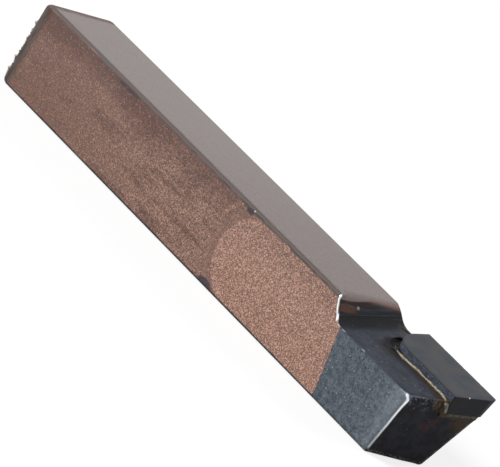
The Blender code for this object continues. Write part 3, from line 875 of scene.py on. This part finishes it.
def ease_head(points, head, near, front):
    """Rounds the edge of the head's top, most at the front corner, and less by the bead."""
    x, y = points[:, :2].T
    ahead, outward = over_plane(points, front)
    sides = around_corner(*over_plane(points, near), ahead, outward, FRONT_CORNER)
    away = np.linalg.norm(points[:, :2] - FRONT_CORNER_PLACE, axis=1)
    at_corner = 1 - smooth_step(away / FRONT_CORNER_REACH)
    at_front = smooth_step((ahead + 2.6) / 1.2) * smooth_step((-0.5 - y) / 1.5)
    rounding = np.maximum(
        CUT_EDGE + (CORNER_EDGE - CUT_EDGE) * at_corner,
        CUT_EDGE + (FRONT_EDGE - CUT_EDGE) * at_front,
    )
    chosen = (x > WALL_X + HEAD_REARMOST) & (y < HEAD_FARTHEST)
    return ease(points, chosen, rounding, *over_plane(points, head), *sides)


def ease_foot(points, foot, side, front):
    """Rounds the bottom edge of the head, more at the front and the far side."""
    x, y, z = points.T
    sides = around_corner(*over_plane(points, side), *over_plane(points, front), FAR_CORNER)
    farther = smooth_step((y + 1.0) / 3.5)
    rounding = FOOT_EDGE + (FAR_FOOT_EDGE - FOOT_EDGE) * farther
    rounding = rounding * smooth_step((x - FOOT_REARMOST) / 3.0) + 0.01
    chosen = (x > FOOT_REARMOST) & (z < FOOT_HIGHEST)
    return ease(points, chosen, rounding, *over_plane(points, foot), *sides)


def plane(place, normal):
    """A place on a plane, and the plane's way out at length one."""
    return np.array(place, float), np.array(normal) / np.linalg.norm(normal)


def over_plane(points, flat):
    """Height of each point over a plane, and the plane's way out at each point."""
    place, normal = flat
    return (points - place) @ normal, np.broadcast_to(normal, points.shape)


def around_corner(height_a, normal_a, height_b, normal_b, rounding):
    """Height over two faces whose common edge is rounded, and the way out from it."""
    rim = np.stack([height_a + rounding, height_b + rounding], axis=-1)
    held = np.maximum(rim, 0.0)
    length = np.linalg.norm(held, axis=1)
    height = np.where(length > 0, length, rim.max(axis=1)) - rounding
    lean = np.where(length[:, None] > 0, held, rim == rim.max(axis=1, keepdims=True))
    outward = lean[:, :1] * normal_a + lean[:, 1:] * normal_b
    return height, outward / np.linalg.norm(outward, axis=1, keepdims=True)


def smooth_step(share):
    held = np.clip(share, 0.0, 1.0)
    return held * held * (3 - 2 * held)


def slice_across(bm, flat, depth=0.0, low_x=-1000.0):
    """Cuts the faces that reach beyond a place along the bar, and keeps both halves.

    The cut runs at a depth under a plane.
    """
    place, normal = flat
    place = Vector(place - normal * depth) * MM
    limit = low_x * MM + MERGE_DISTANCE
    faces = [face for face in bm.faces if max(vert.co.x for vert in face.verts) > limit]
    edges = dict.fromkeys(edge for face in faces for edge in face.edges)
    verts = dict.fromkeys(vert for face in faces for vert in face.verts)
    geometry = [*verts, *edges, *faces]
    bmesh.ops.bisect_plane(
        bm, geom=geometry, dist=CUT_DISTANCE, plane_co=place, plane_no=Vector(normal)
    )


def ease(points, chosen, rounding, height_a, normal_a, height_b, normal_b):
    """Rounds the edge between two faces, given each point's height over both of them.

    The circle that touches both faces has its centre one radius below each. A point
    beyond the circle, and between the two lines from its centre to where it touches,
    is drawn towards the centre as far as the circle.
    """
    lean = (normal_a * normal_b).sum(axis=1)
    from_a = height_a + rounding
    from_b = height_b + rounding
    share = 1 - lean**2
    part_a = (from_a - lean * from_b) / share
    part_b = (from_b - lean * from_a) / share
    reach = part_a[:, None] * normal_a + part_b[:, None] * normal_b
    length = np.linalg.norm(reach, axis=1)
    moved = chosen & (part_a > 0) & (part_b > 0) & (length > rounding)
    pull = np.where(moved, 1 - rounding / np.maximum(length, 1e-9), 0.0)
    return points - reach * pull[:, None]


def add_tip(material):
    """Ground tip with fine broken edges and small chips along them.

    A wall runs between the underside's and the top's outlines. Each of its rims is a
    quarter round, wider where the edge has chipped, and each face closes on its middle.
    """
    points = corners_of("carbide_tip")
    up = np.array([0.0, -math.sin(TIP_RAKE), math.cos(TIP_RAKE)])
    height = points @ up
    is_top = height > height.mean()
    rings = []
    for ring in (points[~is_top], points[is_top]):
        middle = ring.mean(axis=0)
        ring = ring[np.argsort(np.arctan2(ring[:, 1] - middle[1], ring[:, 0] - middle[0]))]
        rings.append(np.roll(ring, -np.argmax(ring[:, 1] - ring[:, 0]), axis=0))
    low, high = (outline(ring, rings[1], TIP_COLUMNS) for ring in rings)
    ahead = np.roll(high, -3, axis=0) - np.roll(high, 3, axis=0)
    outward = np.cross(ahead, up)
    outward /= np.linalg.norm(outward, axis=1, keepdims=True)
    wear = EDGE_BREAK + EDGE_WEAR * ripple(TIP_COLUMNS, EDGE_WAVES, 3) + chips(high)
    turn = np.linspace(0.0, math.pi / 2, ARC_ROWS)
    thick = np.linalg.norm(high - low, axis=1)
    rows = []
    foot = np.full(TIP_COLUMNS, EDGE_BREAK)
    for share in np.linspace(0.0, 1.0, FACE_ROWS, endpoint=False):
        rows.append(blend(low.mean(axis=0), low - outward * foot[:, None], share))
    for angle in turn:
        lift = foot * (1 - math.cos(angle))
        draw = foot * (1 - math.sin(angle))
        rows.append(low + (high - low) * (lift / thick)[:, None] - outward * draw[:, None])
    for angle in turn[::-1]:
        drop = wear * (1 - math.cos(angle))
        draw = wear * (1 - math.sin(angle))
        rows.append(high - (high - low) * (drop / thick)[:, None] - outward * draw[:, None])
    for share in np.linspace(1.0, 0.0, FACE_ROWS + 1)[1:]:
        rows.append(blend(high.mean(axis=0), high - outward * wear[:, None], share))
    mesh = grid_mesh("tip_body", np.array(rows))
    return add_piece("tip_body", mesh, material, "carbide_tip")


def blend(middle, ring, share):
    return middle + (ring - middle) * share


def outline(ring, guide, count):
    """Ring of corner points, filled in to a count of points and softened a little.

    The points are spaced evenly along the guide, and the ring follows it side by side.
    """
    closed_guide = np.vstack([guide, guide[:1]])
    closed = np.vstack([ring, ring[:1]])
    steps = np.linalg.norm(np.diff(closed_guide, axis=0), axis=1)
    along = np.concatenate([[0.0], np.cumsum(steps)])
    places = np.linspace(0.0, along[-1], count, endpoint=False)
    filled = np.column_stack([np.interp(places, along, closed[:, i]) for i in range(3)])
    return (np.roll(filled, 1, axis=0) + 2 * filled + np.roll(filled, -1, axis=0)) / 4


def ripple(count, waves, seed):
    """Closed uneven line within -1 and 1: the mean of sines with given counts of waves."""
    draw = np.random.default_rng(seed)
    angle = np.linspace(0.0, 2 * math.pi, count, endpoint=False)
    total = sum(np.sin(wave * angle + draw.uniform(0, 2 * math.pi)) for wave in waves)
    return total / len(waves)


def chips(ring):
    """Extra width of the broken edge near each chip, a rounded dent along the ring."""
    extra = np.zeros(len(ring))
    for x, y, width, depth in TIP_CHIPS:
        distance = np.hypot(ring[:, 0] - x, ring[:, 1] - y)
        extra = np.maximum(extra, depth * np.clip(1 - (distance / width) ** 2, 0, 1))
    return extra


def add_bead(material):
    """Bead of braze: a round cord laid along the seam and down the end of it.

    Its middle line is a smooth curve through the seam's corners, and its radius swells
    and shrinks along it, down to nothing at both ends.
    """
    turns = np.linspace(0.0, 1.0, BEAD_ROWS)
    line = smooth_line(np.array(BEAD_LINE), turns)
    ahead = np.gradient(line, axis=0)
    ahead /= np.linalg.norm(ahead, axis=1, keepdims=True)
    side = np.cross(ahead, BEAD_UPWARD)
    side /= np.linalg.norm(side, axis=1, keepdims=True)
    over = np.cross(side, ahead)
    start = np.clip(turns / BEAD_START, 0, 1) ** 0.9
    end = np.clip((1 - turns) / BEAD_END, 0, 1) ** 0.5
    radius = BEAD_RADIUS * (1 + waves(turns, BEAD_SWELLS)) * start * end
    angle = np.linspace(0.0, 2 * math.pi, BEAD_COLUMNS, endpoint=False)
    around = side[:, None] * np.cos(angle)[:, None] + over[:, None] * np.sin(angle)[:, None]
    mesh = grid_mesh("braze_bead", line[:, None] + around * radius[:, None, None])
    return add_piece("braze_bead", mesh, material, None)


def add_burr(material):
    """Burr that the saw left along the rear edge: a thin cord with a jagged radius.

    The radius is a core's, and a size times the square of a sum of sines. It closes in
    a point at both ends.
    """
    turns = np.linspace(0.0, 1.0, BURR_ROWS)
    knots = np.array(BURR_LINE)
    line = knots[0] + (knots[1] - knots[0]) * turns[:, None]
    jag = np.clip(0.5 + waves(turns, BURR_JAGS), 0, 0.9)
    end = np.clip(turns / BURR_END, 0, 1) * np.clip((1 - turns) / BURR_END, 0, 1)
    radius = (BURR_CORE + BURR_SIZE * jag**2) * end
    angle = np.linspace(0.0, 2 * math.pi, BURR_COLUMNS, endpoint=False)
    across = np.stack([np.cos(angle), np.sin(angle), 0 * angle], axis=-1)
    shift = np.stack([np.sin(37 * turns), np.sin(53 * turns), 0 * turns], axis=-1) * BURR_SHIFT
    points = (line + shift)[:, None] + across * radius[:, None, None]
    mesh = grid_mesh("rear_burr", points)
    return add_piece("rear_burr", mesh, material, None)


def waves(turns, parts):
    """Sum of sines along a line, each given by its height, its rate and its lag."""
    return sum(height * np.sin(rate * turns + lag) for height, rate, lag in parts)


def add_hollow(material):
    """Burnt flux in the hollow behind the bead, near black as painted shade of the hollow: a
    shallow trough along an arc.

    One parameter turns along the pocket's round corner, the other goes round a flat
    profile between the corner's wall and the tip. The profile's upper side sags by the
    square of the sine, its lower side lies deeper, and both close at the trough's ends.
    """
    turn = np.radians(np.linspace(*HOLLOW_TURNS, HOLLOW_ROWS))[:, None]
    angle = np.linspace(0.0, 2 * math.pi, HOLLOW_COLUMNS, endpoint=False)[None, :]
    heading = np.stack([np.cos(turn), np.sin(turn)], axis=-1)
    outer = np.array(POCKET_CENTRE) + POCKET_ROUND * heading
    inner = np.array(TIP_CENTRE) + TIP_ROUND * heading
    share = 0.5 - 0.53 * np.cos(angle)[..., None]
    place = outer + (inner - outer) * share
    end = np.clip(np.minimum(turn - turn[0], turn[-1] - turn) / HOLLOW_END, 0, 1) ** 0.5
    sag = HOLLOW_DEPTH * np.sin(angle) ** 2
    body = np.where(np.sin(angle) > 0, 0.0, HOLLOW_DEPTH * np.abs(np.sin(angle)))
    rim = HEAD_NEAR_Z + HEAD_SLOPE * (place[..., 1] - NEAR_Y) - HOLLOW_DROP
    height = rim - (sag + body) * end
    middle = place.mean(axis=1, keepdims=True)
    place = middle + (place - middle) * end[..., None]
    points = np.concatenate([place, height[..., None]], axis=-1)
    mesh = grid_mesh("flux_and_hollow_shade", points[:, ::-1])
    return add_piece("flux_and_hollow_shade", mesh, material, None)


def add_drop(name, centre, size, upward, material, slot):
    """Drop that set on a face: a dome with its rim on the face and a flat underside.

    Rings of points shrink from the rim to the crown as the cosine of the climb, while
    the height grows as its sine.
    """
    up = np.array(upward) / np.linalg.norm(upward)
    side = np.cross((0.0, 1.0, 0.0), up)
    side /= np.linalg.norm(side)
    across = np.cross(up, side)
    rise = np.linspace(0.0, math.pi / 2, DROP_ROWS)
    climb = np.concatenate([[-math.pi / 2, -0.6], rise])[:, None, None]
    angle = np.linspace(0.0, 2 * math.pi, DROP_COLUMNS, endpoint=False)[None, :, None]
    spread = 1 + 0.1 * np.sin(2 * angle + 1) + 0.06 * np.sin(5 * angle)
    flat = side * np.cos(angle) * size[0] + across * np.sin(angle) * size[1]
    lift = np.where(climb > 0, size[2], 0.1) * np.sin(climb)
    points = np.array(centre) + flat * spread * np.cos(climb) + up * lift
    return add_piece(name, grid_mesh(name, points), material, None)


def smooth_line(knots, places):
    """Smooth curve through knots: a Catmull-Rom spline, evenly by knot."""
    ends = np.vstack([2 * knots[0] - knots[1], knots, 2 * knots[-1] - knots[-2]])
    spot = places * (len(knots) - 1)
    span = np.minimum(spot.astype(int), len(knots) - 2)
    t = (spot - span)[:, None]
    a, b, c, d = (ends[span + i] for i in range(4))
    square = 2 * a - 5 * b + 4 * c - d
    cube = 3 * b - a - 3 * c + d
    return 0.5 * (2 * b + (c - a) * t + square * t**2 + cube * t**3)


def dress(node, material):
    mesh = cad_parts[node].data
    mesh.materials.clear()
    mesh.materials.append(material)


def add_camera():
    data = bpy.data.cameras.new("camera")
    data.sensor_width = SENSOR_WIDTH
    data.lens = CAMERA_LENS
    data.clip_start = 0.05
    data.clip_end = 10.0
    camera = bpy.data.objects.new("camera", data)
    bpy.context.scene.collection.objects.link(camera)
    turn = Matrix.Rotation(math.radians(CAMERA_AZIMUTH), 4, "Z")
    tilt = Matrix.Rotation(math.radians(90.0 - CAMERA_ELEVATION), 4, "X")
    roll = Matrix.Rotation(math.radians(CAMERA_ROLL), 4, "Z")
    camera.matrix_world = Matrix.Translation(CAMERA_PLACE) @ turn @ tilt @ roll
    bpy.context.scene.camera = camera


def add_lamp(name, place, target, size, power):
    data = bpy.data.lights.new(name, "AREA")
    data.shape = "DISK"
    data.size = size
    data.energy = power
    lamp = bpy.data.objects.new(name, data)
    bpy.context.scene.collection.objects.link(lamp)
    aim = (Vector(target) - Vector(place)).to_track_quat("-Z", "Y")
    lamp.matrix_world = Matrix.Translation(place) @ aim.to_matrix().to_4x4()


def add_stage():
    """White floor and studio light.

    The floor shows white to the camera and keeps a soft shadow. It sends less light back
    up, so that the faces turned away from the lamp stay dark, as on a high stand.
    """
    half = FLOOR_SIZE / 2
    mesh = bpy.data.meshes.new("floor")
    corners = [(-half, -half, 0.0), (half, -half, 0.0), (half, half, 0.0), (-half, half, 0.0)]
    mesh.from_pydata(corners, [], [(0, 1, 2, 3)])
    floor = bpy.data.objects.new("floor", mesh)
    bpy.context.scene.collection.objects.link(floor)
    finish = Finish("floor", Roughness=0.9, Specular_IOR_Level=0.0, Emission_Strength=1.0)
    seen = finish.node("ShaderNodeLightPath", output="Is Camera Ray")
    shown = Value(finish, seen.socket.node.outputs["Is Glossy Ray"])
    level = FLOOR_BOUNCE + shown * (FLOOR_WHITE - FLOOR_BOUNCE)
    level = level + seen * (FLOOR_WHITE * (1 - FLOOR_GLOW) - FLOOR_BOUNCE)
    black, white = (0.0, 0.0, 0.0, 1.0), (1.0, 1.0, 1.0, 1.0)
    finish.feed(finish.shader.inputs["Base Color"], finish.mix(level, black, white))
    finish.feed(finish.shader.inputs["Emission Color"], finish.mix(seen * FLOOR_GLOW, black, white))
    mesh.materials.append(finish.material)
    world = bpy.data.worlds.new("studio")
    world.use_nodes = True
    sky = Nodes(world.node_tree)
    seen = sky.node("ShaderNodeLightPath", output="Is Camera Ray")
    outputs = seen.socket.node.outputs
    shown = seen + Value(sky, outputs["Is Glossy Ray"]) + Value(sky, outputs["Is Transmission Ray"])
    background = world.node_tree.nodes["Background"]
    background.inputs["Color"].default_value = white
    sky.feed(background.inputs["Strength"], SKY_LEVEL + shown * (1 - SKY_LEVEL))
    bpy.context.scene.world = world
    add_lamp("key", KEY_PLACE, (0.0, 0.0, 0.0), KEY_SIZE, KEY_POWER)
    add_lamp("fill", FILL_PLACE, (0.0, 0.0, 0.0), FILL_SIZE, FILL_POWER)


bpy.context.scene.view_settings.view_transform = "Standard"
add_camera()
add_stage()
add_shank(painted_steel())
add_tip(carbide())
add_bead(braze_crest())
add_burr(torn_steel())
add_hollow(flux_and_hollow_shade())
add_drop("paint_drop", *PAINT_DROP, hard_paint(), "painted_steel")
film = braze_film()
add_drop("braze_spill", *BRAZE_SPILL, film, "silver_braze")
dress("braze", film)
